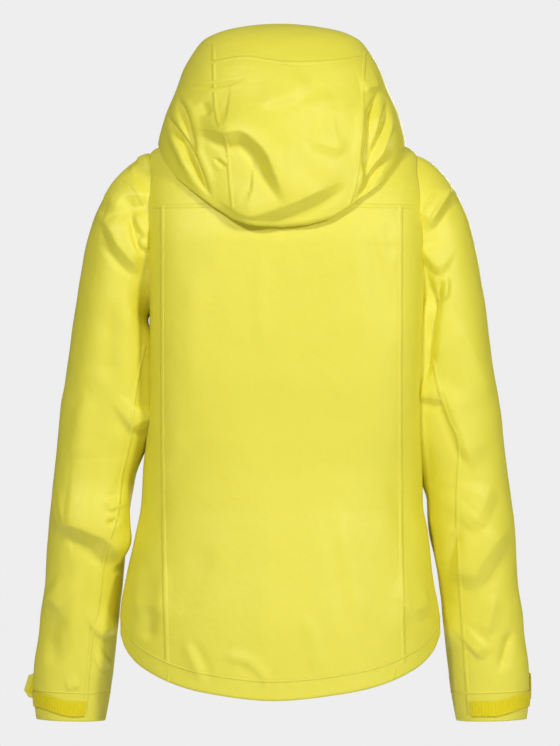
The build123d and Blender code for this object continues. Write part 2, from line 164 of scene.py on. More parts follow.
def fold_height(x, z, kind, height, width, line):
    """Height at (x, z) of one fold along its line, fading at both ends.

    ridge: a rounded crest. crease: a sharp crest. valley: a sharp groove. step: cloth that bulges on the
    line's left, breaks in a crisp edge along the line, and falls away in a flat facet of the given width."""
    p = curve(line, FOLD_STEP)
    (x_lo, z_lo), (x_hi, z_hi) = p.min(0) - FOLD_REACH * width, p.max(0) + FOLD_REACH * width
    near = (x > x_lo) & (x < x_hi) & (z > z_lo) & (z < z_hi)
    out = np.zeros(len(x))
    if not near.any():
        return out
    x, z = x[near], z[near]
    best, side, along = np.full(len(x), 1e9), np.zeros(len(x)), np.zeros(len(x))
    n = len(p) - 1
    for i, ((ax, az), (dx, dz)) in enumerate(zip(p, np.diff(p, axis=0))):
        t = np.clip(((x - ax) * dx + (z - az) * dz) / (dx * dx + dz * dz), 0, 1)
        ex, ez = x - ax - t * dx, z - az - t * dz
        far = ex * ex + ez * ez
        closer = far < best
        best = np.where(closer, far, best)
        side = np.where(closer, np.sign(dx * (z - az) - dz * (x - ax)), side)
        along = np.where(closer, (i + t) / n, along)
    d = np.sqrt(best)
    fade = smoothstep(along, 0, FOLD_TAPER) * smoothstep(1 - along, 0, FOLD_TAPER)
    w = width * (0.55 + 0.45 * fade)
    if kind == "ridge":
        h = np.exp(-((d / w) ** 2))
    elif kind == "crease":
        h = np.clip(1 - np.sqrt(d * d + 0.8) / w, 0, 1) * 0.6 + 0.4 * np.exp(-((d / (0.4 * w)) ** 2))
    elif kind == "valley":
        h = -np.clip(1 - d / w, 0, 1) ** 1.4 + 0.22 * np.exp(-(((d - 1.5 * w) / (0.8 * w)) ** 2))
    else:
        u = d * side / w
        h = np.where(u > 0, np.exp(-((u / 2.2) ** 2)), np.clip(1 + u, 0, 1) ** 1.15)
        h = h - 0.12 * np.exp(-(((u + 1.25) / 0.4) ** 2))
    out[near] = height * h * fade
    return out


def seen(p, sign=BACK):
    """(x, z) where points show on the plane y = 0; from behind, nearer points spread from the centre."""
    if sign == FRONT:
        return p[..., 0], p[..., 2]
    k = EYE_Y / (EYE_Y - p[..., 1])
    return p[..., 0] * k, EYE_Z + (p[..., 2] - EYE_Z) * k


def unseen(z, y):
    """The height at depth y of a point that shows at height z from behind."""
    return EYE_Z + (z - EYE_Z) * (EYE_Y - y) / EYE_Y


def fold_field(points, normals, back, front=(), depth=1.0):
    """Sum of the back and front folds for points (n, 3) with their normals."""
    h = np.zeros(len(points))
    for sign, part in ((BACK, back), (FRONT, front)):
        x, z = seen(points, sign)
        facing = smoothstep(normals[:, 1] * sign, 0.05, 0.45)
        h += depth * sum(fold_height(x, z, *fold) for fold in part) * facing
    return h


# ---- grids
class Grid:
    """A sheet of points p[v, u, 3] in millimetres; u may close on itself."""

    def __init__(self, points, closed=False):
        self.p, self.closed, self.trees = np.asarray(points, float), closed, {}

    def normals(self):
        p = self.p
        du = np.roll(p, -1, 1) - np.roll(p, 1, 1) if self.closed else np.gradient(p, axis=1)
        return unit(np.cross(du, np.gradient(p, axis=0)))

    def flat(self):
        """Points and normals as (n, 3)."""
        return self.p.reshape(-1, 3), self.normals().reshape(-1, 3)

    def push(self, height):
        """Moves the points out along their normals by a height for each."""
        self.p = self.p + self.normals() * height.reshape(self.p.shape[:2])[..., None]

    def find(self, x, z, sign):
        """The grid's (v, u) whose point, on the side that faces sign along Y, is nearest to (x, z)."""
        if sign not in self.trees:
            spots = np.argwhere(self.normals()[..., 1] * sign > 0.02)
            tree = KDTree(len(spots))
            across, up = seen(self.p[spots[:, 0], spots[:, 1]], sign)
            for k in range(len(spots)):
                tree.insert((across[k], 0.0, up[k]), k)
            tree.balance()
            self.trees[sign] = tree, spots
        tree, spots = self.trees[sign]
        return spots[tree.find((x, 0.0, z))[1]]

    def at(self, v, u):
        """Point at fractional (v, u) of a closed grid."""
        nv, nu = self.p.shape[:2]
        v = np.clip(v, 0, nv - 1.001)
        v0, u0 = int(v), math.floor(u)
        fv, fu = v - v0, u - u0
        a, b = self.p[v0 : v0 + 2, u0 % nu] * (1 - fu) + self.p[v0 : v0 + 2, (u0 + 1) % nu] * fu
        return a * (1 - fv) + b * fv

    def line(self, xz, sign, step=3.0, off_most=5.5, turned_away=0.14, steepest=0.25, depth_most=3):
        """Surface points and normals under a line drawn in (x, z), seen from the side sign along Y.

        Points of the line past the outline or the hem are left out."""
        n = self.normals()
        out, nor = [], []
        for x, z in curve(xz, step):
            v, u = self.find(x, z, sign)
            q, m = self.p[v, u].copy(), n[v, u]
            qx, qz = seen(q, sign)
            dx, dz = x - qx, z - qz
            if math.hypot(dx, dz) > off_most or m[1] * sign < turned_away:
                continue
            dy = -(m[0] * dx + m[2] * dz) / (sign * max(abs(m[1]), steepest))
            out.append(q + [dx, np.clip(dy, -depth_most, depth_most), dz])
            nor.append(m)
        out, nor = np.array(out), np.array(nor)
        for _ in range(2):
            soften(out)
            soften(nor)
        return out, unit(nor)


def mesh_from(name, verts, faces, material):
    mesh = bpy.data.meshes.new(name)
    mesh.from_pydata([tuple(v) for v in np.asarray(verts) * MM], [], [tuple(int(i) for i in f) for f in faces])
    mesh.validate()
    mesh.polygons.foreach_set("use_smooth", [True] * len(mesh.polygons))
    mesh.materials.append(material)
    obj = bpy.data.objects.new(name, mesh)
    scene.collection.objects.link(obj)
    return obj


def grid_faces(nv, nu, closed):
    v, u = np.meshgrid(np.arange(nv - 1), np.arange(nu if closed else nu - 1), indexing="ij")
    u1 = (u + 1) % nu
    return np.stack([v * nu + u, v * nu + u1, (v + 1) * nu + u1, (v + 1) * nu + u], -1).reshape(-1, 4)


def grid_mesh(name, grid, material, keep=()):
    """The grid as a mesh; cloth stays only where every field in keep is above zero."""
    verts = grid.p.reshape(-1, 3).copy()
    faces = grid_faces(*grid.p.shape[:2], grid.closed)
    for field in keep:
        verts, faces = trim(verts, faces, field)
    used = np.unique(faces)
    index = np.full(len(verts), -1)
    index[used] = np.arange(len(used))
    return mesh_from(name, verts[used], index[faces], material)


def trim(verts, faces, field):
    """Cuts the mesh where field(points) is below zero, after sliding the nearest points onto the cut line."""
    value = field(verts)
    edges = np.vstack([faces[:, [k, (k + 1) % 4]] for k in range(4)])
    a, b = np.unique(np.sort(edges, axis=1), axis=0).T
    cross = (value[a] > 0) != (value[b] > 0)
    a, b = a[cross], b[cross]
    t = value[a] / (value[a] - value[b])
    spot = verts[a] + (verts[b] - verts[a]) * t[:, None]
    near = np.where(t < 0.5, a, b)
    order = np.argsort(-np.where(t < 0.5, t, 1 - t))
    verts[near[order]] = spot[order]
    value[near] = 0.0
    alive = value[faces]
    return verts, faces[(alive >= 0).all(axis=1) & (alive.sum(axis=1) > 0)]


def thicken(obj, thickness, inner=None, offset=-1.0):
    """Cloth thickness; the inner face gets the material inner."""
    mod = obj.modifiers.new("thickness", "SOLIDIFY")
    mod.thickness = thickness * MM
    mod.offset = offset
    if inner:
        obj.data.materials.append(inner)
        mod.material_offset = 1
    return obj


def place(obj, slot, *nodes, on="jacket"):
    """Rides the piece on a body and has it stand for the CAD nodes, which it hides; slot is not used."""
    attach(obj, on)
    if nodes:
        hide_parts(*nodes)


def pairs(*names):
    return [f"{name}_{side}" for name in names for side in SIDES.values()]


# ---- seams and stitches
THREAD = 0.45


def across_of(points, normals):
    """Directions in the surface, square to the line."""
    return unit(np.cross(unit(np.gradient(points, axis=0)), normals))


def ribbon(points, normals, width, height, sink=0.4):
    """A low raised band along the line: verts and faces of one strip with a crowned section."""
    across = across_of(points, normals)
    shoulder = height * 0.75
    section = [(-0.5, -sink), (-0.46, shoulder), (0.0, height), (0.46, shoulder), (0.5, -sink)]
    p = np.stack([points + across * (s * width) + normals * h for s, h in section], 1)
    return p.reshape(-1, 3), grid_faces(*p.shape[:2], False)


def stitch_row(points, normals, offset, lift, length=2.6, gap=1.1, sunk=-0.15, root=0.3):
    """Small stitches along the line, offset to one side, with their ends in the cloth."""
    across = across_of(points, normals)
    line = points + across * offset
    run = run_of(line)
    verts, faces = [], []
    pos = gap
    while pos + length < run[-1]:
        base = len(verts)
        for part, up, wide in ((0, sunk, 0.6), (0.5, lift, 1.0), (1, sunk, 0.6)):
            c, n, a = (spread(pos + length * part, run, rows) for rows in (line, normals, across))
            edge, foot = a * THREAD * wide * 0.5, n * (up - root)
            verts += [c + edge + foot, c + n * (up + THREAD * 0.5), c - edge + foot]
        for k in (base, base + 3):
            faces += [(k, k + 3, k + 4, k + 1), (k + 1, k + 4, k + 5, k + 2)]
        pos += length + gap
    return np.array(verts).reshape(-1, 3), np.array(faces, int).reshape(-1, 4)


class Pile(list):
    """Strips of verts and faces that make one mesh."""

    def build(self, name, material):
        starts = np.cumsum([0] + [len(verts) for verts, _ in self])
        faces = [part + start for (_, part), start in zip(self, starts)]
        return mesh_from(name, np.vstack([verts for verts, _ in self]), np.vstack(faces), material)


seams, threads = Pile(), Pile()
trim_seams, trim_threads = Pile(), Pile()


def run_seam(points, normals, width=6.5, height=0.18, rows=(-2.0, 2.0), into=(seams, threads)):
    """A raised seam allowance along the path, unless width is 0, with rows of topstitching."""
    if width:
        into[0].append(ribbon(points, normals, width, height))
    for offset in rows:
        into[1].append(stitch_row(points, normals, offset, height if width else 0.1))


def seam(grid, sign, xz, side=LEFT, **style):
    """A seam under x, z, x, z..., given for the left, on the grid's back or front."""
    run_seam(*grid.line(np.reshape(xz, (-1, 2)) * [side, 1], sign), **style)


# ---- body
# Height, half width (left), half width (right), front depth, back depth, squareness.
BODY = np.array([
    (-715, 203, 199, 108, 122, 2.1), (-606, 202, 198, 108, 121, 2.1), (-582, 202, 197, 108, 120, 2.1),
    (-533, 194, 189, 108, 115, 2.15), (-480, 183, 183, 108, 110, 2.2), (-443, 176, 176, 108, 106, 2.3),
    (-400, 174, 175, 108, 104, 2.45), (-350, 168, 174, 108, 106, 3), (-280, 165, 175, 108, 112, 3.6),
    (-210, 165, 177, 108, 115, 3.9), (-120, 169, 179, 108, 115, 3.9), (-65, 173, 180, 105, 105, 3.3),
    (-20, 172, 174, 90, 86, 2.5), (0, 161, 161, 70, 66, 2.2), (12, 120, 120, 54, 54, 2),
    (19, 72, 72, 42, 44, 2),
], float)
# Distance from the middle, height as it shows from behind.
HEM_BACK = np.array([
    (0, -689), (12, -688.8), (35, -687), (72, -682), (108, -675), (138, -665), (162, -653), (179, -641),
    (194, -623), (202, -604),
], float)
HEM_FRONT, SHOULDER_TOP = -604.0, 18.9
BODY_U, BODY_V = 420, 300
FRONT_DEPTH = 108.0
BODY_FOLDS_BACK = folds(
    ridge=[
        (1.6, 12, 25,-120, 26,-175, 25,-262), (-2, 12, -105,-90, -115,-125, -129,-188, -142,-250),
        (-1.8, 8, -128,-85, -135,-112, -140,-140), (1.5, 12, -92,-100, -102,-188, -105,-250),
        (-4, 10, 160,-570, 165,-590, 170,-616), (2.2, 9, 146,-512, 152,-562, 158,-612),
        (2, 8, 178,-512, 182,-550, 178,-588), (2, 9, -154,-525, -150,-575, -145,-612),
        (2.2, 16, -66,-438, -75,-488, -92,-562, -100,-612),
        (-1.6, 13, -55,-438, -65,-494, -78,-562, -85,-625), (2.4, 7, 122,-612, 108,-644, 102,-668),
        (-2, 6, 115,-608, 95,-648, 88,-675), (2.4, 8, 78,-628, 45,-640, 25,-658, 15,-678),
        (-1.8, 7, 62,-640, 38,-652, 22,-672), (1.6, 16, 108,-138, 112,-238, 115,-312),
        (-1.6, 16, 88,-488, 108,-538, 130,-600), (-2, 12, 145,-400, 158,-450, 172,-500),
        (-2, 12, -138,-400, -152,-462, -172,-512), (1.8, 14, 128,-338, 140,-388, 165,-438),
        (-1, 22, -45,-138, -50,-225, -42,-312), (1.4, 18, 18,-512, 25,-575, 18,-638),
        (1.8, 10, -22,-575, -38,-612, -45,-662),
    ],
    step=[
        (4, 16, -188,-566, -172,-571, -158,-584),
    ],
)
BODY_FOLDS_FRONT = folds(
    ridge=[
        (2, 14, 60,-130, 66,-220, 50,-330), (-1.8, 12, 84,-150, 88,-260, 70,-350),
        (2, 14, -58,-120, -70,-230, -60,-340), (-1.8, 12, -84,-160, -92,-270, -80,-350),
        (2.2, 10, 140,-330, 110,-350, 60,-390, 20,-400),
        (2.2, 10, -140,-330, -112,-352, -70,-380, -24,-384), (-1.8, 9, 150,-360, 100,-372, 40,-420),
        (-1.8, 9, -150,-350, -96,-380, -30,-430), (2, 14, 40,-440, 48,-520, 60,-600),
        (2, 14, -44,-450, -40,-520, -52,-600), (2, 12, 160,-430, 150,-500, 165,-580),
        (2, 12, -160,-430, -152,-510, -166,-580), (-1.6, 7, 86,-560, 80,-590, 84,-606),
        (-1.6, 7, -86,-560, -80,-590, -84,-606),
    ],
)
EVEN_SAMPLES = 4001


def body_at(turn, z):
    *sizes, square = read(BODY, z, 1, 2, 3, 4, 5)
    return ring(turn, z, *sizes, 2 / square)


def even_turns(ring_at, count, z):
    """Ring angles that space the points evenly along the ring at height z."""
    t = np.linspace(0, 2 * math.pi, EVEN_SAMPLES)
    run = run_of(ring_at(t, np.full_like(t, z)))
    return np.interp(np.linspace(0, run[-1], count, endpoint=False), run, t)


def hem_height(x, y):
    across = np.abs(x - 8 * np.exp(-((x / 120) ** 2))) + 3 * (x < 0)  # the lowest point is left of the middle
    back = unseen(smooth_table(across, HEM_BACK[:, 0], HEM_BACK[:, 1]), np.maximum(y, 0))
    return np.where(y > 0, back, HEM_FRONT + 4 * smoothstep(-y, 0, 60))


def make_body_grid():
    turns = even_turns(body_at, BODY_U, -300)
    low = hem_height(*body_at(turns, np.full_like(turns, -640.0))[:, :2].T)
    # rows crowd together over the shoulders, where the surface turns level
    z = rows_up(low, SHOULDER_TOP, BODY_V, [0, 0.72, 0.86, 0.94, 0.985, 1], [0, 0.905, 0.968, 0.986, 0.997, 1])
    grid = Grid(body_at(np.repeat(turns[None, :], BODY_V, 0), z), closed=True)
    p, n = grid.flat()
    front, off_middle = p[:, 1] < 0, np.abs(p[:, 0])
    h = fold_field(p, n, BODY_FOLDS_BACK, BODY_FOLDS_FRONT)
    calm = smoothstep(off_middle, 10, 40) * front + ~front
    h += (0.9 * noise(p * [1, 1, 0.45], 62, 3) + 0.45 * noise(p * [1, 1, 0.6], 27, 5)) * calm
    h *= np.where(front, smoothstep(off_middle, 8, 30), 1.0) * smoothstep(pocket_field(p, below=34), 8, 34)
    under_pull = 1 - smoothstep(np.hypot(p[:, 0] - 128, p[:, 2] + 544), 10, 36)
    h -= 2.0 * under_pull * front
    above_hem = p[:, 2] - np.tile(low, BODY_V)
    pucker = np.sin(p[:, 0] / 4.1 + 1.5 * np.sin(p[:, 0] / 23)) * (0.6 + 0.4 * noise(p, 31, 41))
    h += 0.42 * pucker * np.exp(-(((above_hem - 17) / 7) ** 2)) * calm
    grid.push(h)
    return grid


ARM_Z, ARM_HALF_Z, ARM_HALF_Y = -104.5, 99.0, 64.0
NECK_Y, NECK_HALF_X, NECK_HALF_Y, NECK_LOW = -26, 70.5, 86.0, -72
ZIP_GAP = 6.4
POCKET_TOP, POCKET_BOTTOM, POCKET_HALF = (104.9, -378.0), (126.5, -528.0), 6.5


def arm_field(sign):
    """Below zero inside the armhole column on that side."""

    def field(p):
        r = np.sqrt(((p[:, 2] - ARM_Z) / ARM_HALF_Z) ** 2 + (p[:, 1] / ARM_HALF_Y) ** 2)
        inside = (p[:, 0] * sign > 120) & (p[:, 0] * sign < 400)
        return np.where(inside, (r - 1) * CLEAR, CLEAR)

    return field


def neck_field(p):
    r = np.sqrt((p[:, 0] / NECK_HALF_X) ** 2 + ((p[:, 1] - NECK_Y) / NECK_HALF_Y) ** 2)
    return np.where(p[:, 2] > NECK_LOW, (r - 1) * CLEAR, CLEAR)


def slot_field(p):
    return np.where(p[:, 1] < 0, np.abs(p[:, 0]) - ZIP_GAP, CLEAR)


def pocket_field(p, below=0.0):
    """Below zero inside the round-ended slot of a hand-pocket zip, made longer by below at its lower end."""
    top, bottom = np.array(POCKET_TOP), np.array(POCKET_BOTTOM)
    bottom = bottom + (bottom - top) / np.linalg.norm(bottom - top) * below
    q = np.stack([np.abs(p[:, 0]), p[:, 2]], 1) - bottom
    run = top - bottom
    t = np.clip(q @ run / (run @ run), 0, 1)
    d = np.linalg.norm(q - t[:, None] * run, axis=1)
    return np.where(p[:, 1] < -20, d - POCKET_HALF, CLEAR)


# ---- sleeves
# Body-side x, z, outer x, z, centre y, half depth front, half depth back, squareness.
SLEEVE_RINGS = np.array([
    (150, -203, 150, -4, 0, 65, 65, 2), (162, -203, 166, -3, 0, 65, 65, 2),
    (170, -206, 192, -18, 0, 66, 66, 2.05), (171, -212, 219, -50, 0, 67, 67, 2.1),
    (170, -222, 239, -94, -1, 69, 69, 2.15), (163, -236, 250, -147, -2, 70, 70, 2.2),
    (160, -258, 259, -203, -4, 70, 69, 2.25), (158, -300, 267, -258, -7, 67, 66, 2.3),
    (161, -348, 277, -325, -10, 64, 62, 2.3), (184, -411, 285, -395, -14, 61, 58, 2.2),
    (193, -470, 291, -465, -18, 58, 56, 2.15), (199, -533, 297, -530, -23, 55, 53, 2.1),
    (206, -597, 304, -592, -28, 51, 49, 2.1), (212, -655, 311, -650, -33, 46, 45, 2.1),
    (217, -690, 312.5, -687, -36, 43, 43, 2.1), (222, -715, 309, -713, -37, 42, 42, 2.1),
], float)
SLEEVE_U, SLEEVE_V = 200, 340
PARTS_AT = {LEFT: 372, RIGHT: 440}  # how far down the sleeve leaves the body
SLEEVE_FOLDS = {
    LEFT: folds(
        step=[
            (5, 10, 160,-16, 172,-14, 185,-10), (6.5, 12, 161,-51, 180,-59, 194,-59, 202,-70, 211,-85),
            (8, 12, 178,-159, 192,-136, 205,-119, 212,-102, 222,-91, 236,-94),
            (4, 6, 165,-112, 174,-102, 180,-90, 184,-75), (3.5, 7, 164,-120, 174,-119, 182,-116),
            (6, 11, 166,-322, 175,-335, 184,-341, 196,-351),
            (13, 20, 202,-524, 215,-498, 226,-484, 238,-478, 249,-472, 265,-468, 289,-476),
            (2.6, 6, 216,-451, 222,-434), (3.6, 11, 275,-576, 288,-562, 299,-555),
            (4.5, 9, 205,-596, 220,-599, 234,-610), (3, 7, 214,-638, 232,-648),
            (2.4, 5, 251,-669, 272,-675),
        ],
        valley=[
            (3, 5, 194,-14, 190,-28), (3, 6, 190,-80, 186,-101, 180,-121, 166,-131),
            (3, 4, 201,-515, 211,-530), (2.2, 5, 225,-465, 211,-461),
        ],
        ridge=[
            (2.5, 12, 245,-295, 252,-350, 260,-400), (-2, 12, 211,-194, 216,-244, 218,-298),
            (-3.2, 13, 282,-570, 289,-612, 282,-650), (2, 8, 192,-412, 205,-444, 212,-475),
            (1.8, 10, 255,-512, 260,-562, 262,-625),
        ],
    ),
    RIGHT: folds(
        step=[
            (7, 8, -215,-42, -206,-56, -195,-75, -186,-92, -176,-102),
            (5, 9, -205,-156, -194,-146, -184,-135, -174,-122),
            (3, 22, -203,-196, -220,-218, -238,-250, -250,-290, -255,-330),
            (5.5, 11, -244,-404, -231,-378, -219,-346, -209,-319, -199,-290),
            (3.6, 10, -204,-314, -190,-309, -174,-307), (4, 15, -262,-416, -250,-446, -232,-478),
            (6.5, 20, -286,-470, -268,-485, -255,-506, -242,-528, -235,-556), (3, 12, -258,-616, -240,-634),
        ],
        crease=[
            (2.6, 5, -212,-43, -202,-58, -192,-76, -181,-93), (3.2, 6, -205,-154, -206,-172, -202,-192),
            (-3.5, 12, -289,-598, -280,-625, -271,-655), (2.4, 14, -268,-550, -260,-588, -252,-612),
        ],
        valley=[
            (2.6, 4, -207,-50, -194,-68, -183,-84, -176,-92), (2.6, 5, -199,-160, -197,-176, -199,-190),
            (6, 12, -176,-142, -184,-166, -191,-195, -187,-222, -184,-262, -176,-300),
            (3, 12, -226,-470, -214,-500, -208,-540),
        ],
        ridge=[
            (2.2, 9, -202,-562, -210,-594, -210,-625), (-2.5, 14, -298,-362, -302,-412, -298,-462),
        ],
    ),
}
SLEEVE_FOLDS_FRONT = folds(
    step=[
        (5, 9, 172,-70, 190,-110, 214,-150), (4, 9, 168,-170, 190,-200, 228,-226),
        (5, 9, 172,-330, 200,-350, 236,-362, 272,-356), (4.4, 9, 188,-420, 216,-436, 250,-438, 286,-424),
    ],
    ridge=[
        (-4, 8, 168,-120, 186,-158, 206,-196), (-3, 10, 262,-230, 240,-262, 200,-290),
        (-4, 9, 180,-372, 212,-390, 250,-396, 282,-386), (-3, 9, 196,-480, 226,-500, 262,-506),
        (3, 9, 206,-560, 230,-590, 262,-612), (-2.6, 8, 298,-560, 276,-600, 250,-640),
    ],
)


def ease(column, rounds=40):
    """Evens out a column of numbers, keeping its ends."""
    kernel = np.array([1, 4, 6, 4, 1], float) / 16
    for _ in range(rounds):
        before, after = 2 * column[0] - column[[2, 1]], 2 * column[-1] - column[[-2, -3]]
        column = np.convolve(np.concatenate([before, column, after]), kernel, "valid")
    return column


def sleeve_rings(sign):
    """The ring table for a side; the right sleeve hangs a little higher outside and nearer to the body."""
    rings = SLEEVE_RINGS.copy()
    if sign == RIGHT:
        drop = -rings[:, 3]
        rings[:, 2] -= 1.2 + 2.6 * smoothstep(drop, 60, 130) * (1 - smoothstep(drop, 380, 480))
        rings[:, 0] -= 3.0 + 7.0 * np.exp(-(((rings[:, 1] + 462) / 38) ** 2))
    return rings


def rest_on_body(grid, sign):
    """The sleeve rests against the body and doesn't cut through it."""
    q = grid.p.reshape(-1, 3)
    beside = (q[:, 2] < -186) & (np.abs(q[:, 0]) < 215)
    r = q[beside]
    drop, parts_at = -r[:, 2], PARTS_AT[sign]
    half, back, power = read(BODY, r[:, 2], 1 if sign == LEFT else 2, 4, 5)
    depth = np.where(r[:, 1] > 0, back, FRONT_DEPTH)
    gap = -3.0 + 6.5 * smoothstep(drop, parts_at, parts_at + 30)
    wall = half * (1 - np.clip(np.abs(r[:, 1]) / depth, 0, 0.999) ** power) ** (1 / power) + gap
    reach = np.maximum(np.abs(r[:, 0]), wall)
    touch = smoothstep(drop, 186, 204) * (1 - smoothstep(drop, parts_at - 25, parts_at))
    spare = reach - wall
    r[:, 0] = sign * (reach - spare * touch * (1 - smoothstep(spare, 3, 14)))
    q[beside] = r
    grid.p = q.reshape(grid.p.shape)


def make_sleeve_grid(sign):
    rings = sleeve_rings(sign)
    run = run_of((rings[:, [0, 1]] + rings[:, [2, 3]]) / 2)
    at = np.linspace(0, run[-1], SLEEVE_V)
    ix, iz, ox, oz, yc, front, back, power = [ease(smooth_table(at, run, col))[:, None] for col in rings.T]
    u = np.linspace(0, 2 * math.pi, SLEEVE_U, endpoint=False)
    c, s = np.cos(u)[None, :], np.sin(u)[None, :]
    w = signed_power(c, 2 / power)
    x, z = (ix + ox) / 2 + (ox - ix) / 2 * w, (iz + oz) / 2 + (oz - iz) / 2 * w
    y = yc + np.where(s >= 0, back, front) * signed_power(s, 2 / power)
    p = np.stack([x * sign, y, z], -1)[::-1, ::sign]  # from the cuff up, so that normals point out
    grid = Grid(p, closed=True)
    q, n = grid.flat()
    front_folds = [(*fold, (line * [sign, 1])[::sign]) for *fold, line in SLEEVE_FOLDS_FRONT]
    h = fold_field(q, n, SLEEVE_FOLDS[sign], front_folds, depth=1.3)
    outside = smoothstep(q[:, 0] * sign, 240, 300) * smoothstep(-q[:, 2], 300, 420)
    h += 0.64 * outside * np.sin(q[:, 2] / 19.0 + 2.0 * np.sin(q[:, 2] / 47.0))
    h += 1.1 * noise(q * [1, 1, 0.7], 46, 11 + sign) + 0.5 * noise(q, 21, 17 + sign)
    h *= smoothstep(q[:, 2], -704, -650) * 0.85 + 0.15
    grid.push(h)
    rest_on_body(grid, sign)
    return grid


# ---- hood
# Height, half width, front depth, back depth, squareness back.
HOOD_RINGS = np.array([
    (-100, 150, 108, 127, 2.3), (-75, 154, 110, 131, 2.3), (-40, 157, 112, 133, 2.25),
    (6, 155, 114, 131, 2.2), (39, 147, 117, 125, 2.2), (73, 133, 121, 112, 2.2), (99, 123, 123, 100, 2.2),
    (123, 109, 122, 80, 2.2), (137, 97, 117, 64, 2.15), (145, 82, 110, 50, 2.1), (150, 66, 101, 38, 2.05),
    (154, 46, 88, 24, 2), (157, 22, 66, 8, 2), (158, 4, 46, -6, 2),
], float)
# Distance from the middle, height of the lower edge as it shows from behind.
HOOD_LOW = np.array([
    (0, -91), (34, -87.5), (63, -80), (87, -66), (110, -49), (132, -32), (147, -13), (156, 6),
], float)
HOOD_U, HOOD_V, HOOD_TOP, HOOD_FRONT_LOW, HOOD_FRONT_SQUARE = 420, 230, 157.6, 6.0, 1.75
# The rows rolled under at the lower edge: the share pulled in, and the drop at the back.
HOOD_ROLL = [(0.30, 14), (0.22, 6), (0.15, 0), (0.09, -4), (0.045, -5.5), (0.018, -4), (0.004, -1.5)]
FACE_FOOT, FACE_BROW = (-80.0, 6.0), (-112.0, 150.0)
HOOD_FOLDS = folds(
    step=[
        (11, 14, -10,-70, 4,-42, 18,-8, 31,9, 49,21, 68,19, 88,24, 112,27),
        (3, 7, -125,82, -112,78, -100,72),
        (10, 17, -84,-36, -60,-45, -38,-54, -16,-64, 12,-74, 40,-81, 62,-72, 85,-58),
        (2.6, 11, -42,90, -22,76, 1,64, 32,54), (2, 11, -84,6, -66,2, -46,8, -30,12),
    ],
    valley=[
        (7.5, 7, 144,45, 132,25, 120,5, 109,-18, 100,-38, 88,-60),
        (5.5, 7, 130,69, 122,44, 115,19, 106,-10), (8, 8, -122,76, -112,48, -110,15, -101,-35),
        (6.5, 7, -132,64, -125,29, -116,-1, -100,-45), (6.5, 7, -141,29, -130,-2, -108,-40, -92,-65),
        (2.2, 4, 85,-10, 70,-22), (1.6, 3.5, 115,74, 85,80, 61,85, 45,91),
    ],
    ridge=[
        (2.5, 6, 138,28, 128,0, 112,-35), (2.5, 4, -118,58, -112,28, -108,-10),
        (2.5, 4, -138,48, -128,10, -115,-22), (-2.2, 7, 101,62, 92,41), (1.2, 9, -22,48, -45,58, -70,65),
        (1.5, 14, 22,-25, -2,0, -35,0),
    ],
)


def hood_at(turn, z):
    half, front, back, square = read(HOOD_RINGS, z, 1, 2, 3, 4)
    return ring(turn, z, half, half, front, back, 2 / np.where(np.sin(turn) >= 0, square, HOOD_FRONT_SQUARE))


def face_field(p):
    """Above zero behind the face opening's plane."""
    lean = (FACE_BROW[0] - FACE_FOOT[0]) / (FACE_BROW[1] - FACE_FOOT[1])
    return p[:, 1] - (FACE_FOOT[0] + lean * (p[:, 2] - FACE_FOOT[1]))


def make_hood_grid():
    turns = even_turns(hood_at, HOOD_U, 10.0)
    x, y, _ = hood_at(turns, np.full_like(turns, -30.0)).T
    back = unseen(np.interp(np.abs(x), HOOD_LOW[:, 0], HOOD_LOW[:, 1]), y)
    low = np.where(y > 0, back, HOOD_FRONT_LOW)
    low = np.where((y > 0) & (y < 30), np.minimum(low, HOOD_FRONT_LOW), low)
    z = rows_up(low, HOOD_TOP, HOOD_V, [0, 0.5, 0.72, 0.85, 0.94, 1], [0, 0.66, 0.88, 0.955, 0.988, 1])
    grid = Grid(hood_at(np.repeat(turns[None, :], HOOD_V, 0), z), closed=True)
    q, n = grid.flat()
    h = fold_field(q, n, HOOD_FOLDS, depth=1.45)
    grid.push(h + 1.0 * noise(q, 58, 23) + 0.5 * noise(q, 24, 29))
    # the lower edge rolls under towards the neck
    edge, crown = grid.p[0], grid.p[-1]
    rows = []
    for pull, drop in HOOD_ROLL:
        inward = edge - edge * [pull, pull, 0]
        inward[:, 2] += drop * smoothstep(edge[:, 1], 20, 90)
        rows.append(inward)
    # the crown closes on its middle line
    mirror = (HOOD_U // 2 - np.arange(HOOD_U)) % HOOD_U
    ridge = (crown + crown[mirror]) / 2 + [0, 0, 0.4]
    grid.p = np.concatenate([np.array(rows), grid.p, ridge[None]], 0)
    return grid


def weld(obj, distance=0.02):
    """Joins points that lie together."""
    shape = bmesh.new()
    shape.from_mesh(obj.data)
    bmesh.ops.remove_doubles(shape, verts=shape.verts, dist=distance * MM)
    shape.to_mesh(obj.data)
    shape.free()


# ---- materials
def add_node(tree, kind, inputs=(), **settings):
    """A new shader node; each of its inputs is set to a value or linked from another node's output."""
    node = tree.nodes.new("ShaderNode" + kind)
    for key, value in settings.items():
        setattr(node, key, value)
    fill_inputs(tree, node, dict(inputs))
    return node


def fill_inputs(tree, node, inputs):
    for key, value in inputs.items():
        if isinstance(value, bpy.types.NodeSocket):
            tree.links.new(value, node.inputs[key])
        else:
            node.inputs[key].default_value = value


def new_material(name, build, **inputs):
    """A material whose shader has these inputs and those of build(add, at), at being the object position."""
    mat = bpy.data.materials.new(name)
    mat.use_nodes = True
    tree = mat.node_tree

    def add(kind, inputs=(), output=0, **settings):
        return add_node(tree, kind, inputs, **settings).outputs[output]

    inputs = {key.replace("_", " "): value for key, value in inputs.items()}
    inputs.update(build(add, add("TexCoord", output="Object")))
    fill_inputs(tree, tree.nodes["Principled BSDF"], inputs)
    return mat


